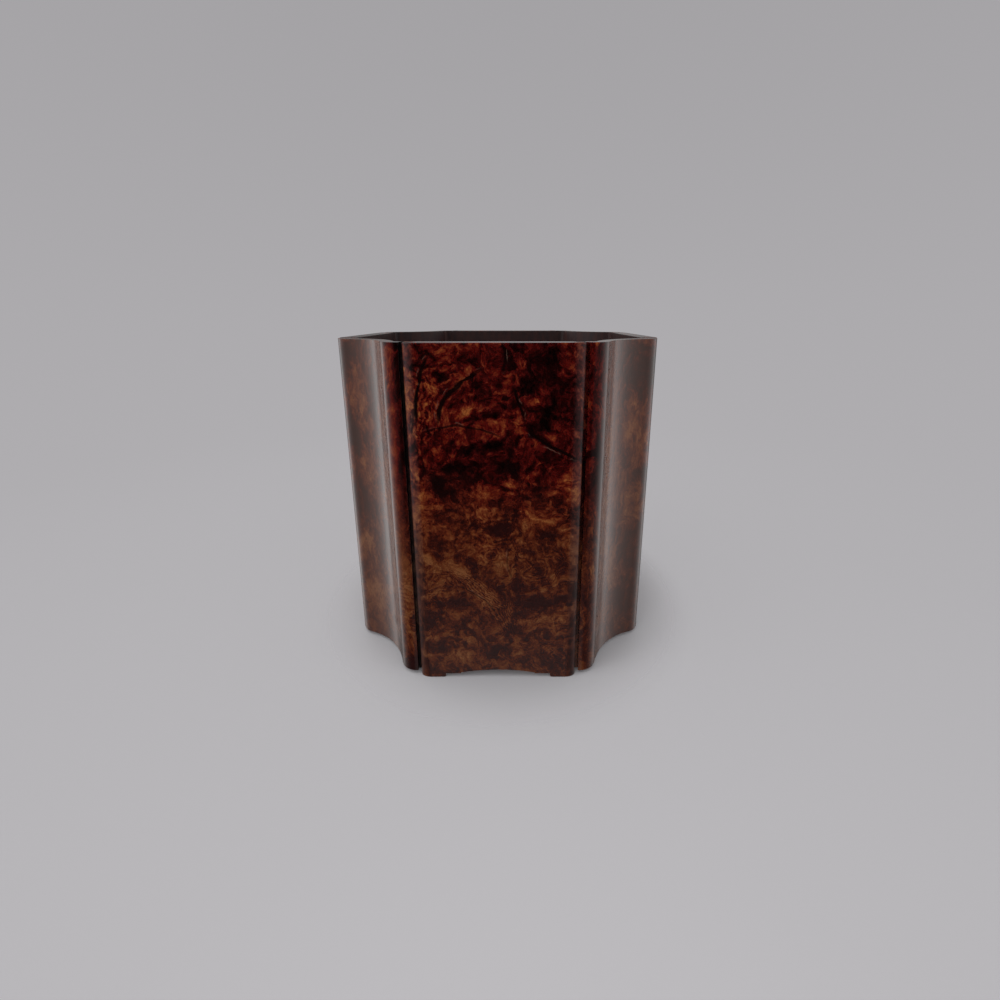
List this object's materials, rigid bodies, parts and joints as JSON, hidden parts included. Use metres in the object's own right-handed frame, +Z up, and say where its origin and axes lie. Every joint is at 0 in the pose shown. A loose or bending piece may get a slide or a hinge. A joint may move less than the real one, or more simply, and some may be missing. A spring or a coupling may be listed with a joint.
{
  "type": "brush pot",
  "caption": "Square burlwood brush pot with flat raised face panels, coved corner staves, a floor board and small bracket feet.",
  "frame": {"origin": "centre of the pot on the surface that its feet stand on", "axes": "+Z up along the pot's axis, the front panel faces -Y, +X to the right seen from the front"},
  "size_m": [0.128, 0.128, 0.13],
  "materials": {
    "burlwood": "polished and waxed burl, dark red-brown with golden flecks",
    "floor_wood": "plain dark hardwood, satin",
    "tongue_wood": "unfinished hardwood"
  },
  "bodies": {
    "root": {"front_panel": "burlwood", "back_panel": "burlwood", "left_panel": "burlwood", "right_panel": "burlwood", "corner_stave_front_left": "burlwood", "corner_stave_right_front": "burlwood", "corner_stave_left_back": "burlwood", "corner_stave_back_right": "burlwood", "floor_board": "floor_wood", "loose_tongue_front_to_left": "tongue_wood", "loose_tongue_front_to_right": "tongue_wood", "loose_tongue_back_to_left": "tongue_wood", "loose_tongue_back_to_right": "tongue_wood", "loose_tongue_left_to_front": "tongue_wood", "loose_tongue_left_to_back": "tongue_wood", "loose_tongue_right_to_front": "tongue_wood", "loose_tongue_right_to_back": "tongue_wood"}
  },
  "joints": []
}
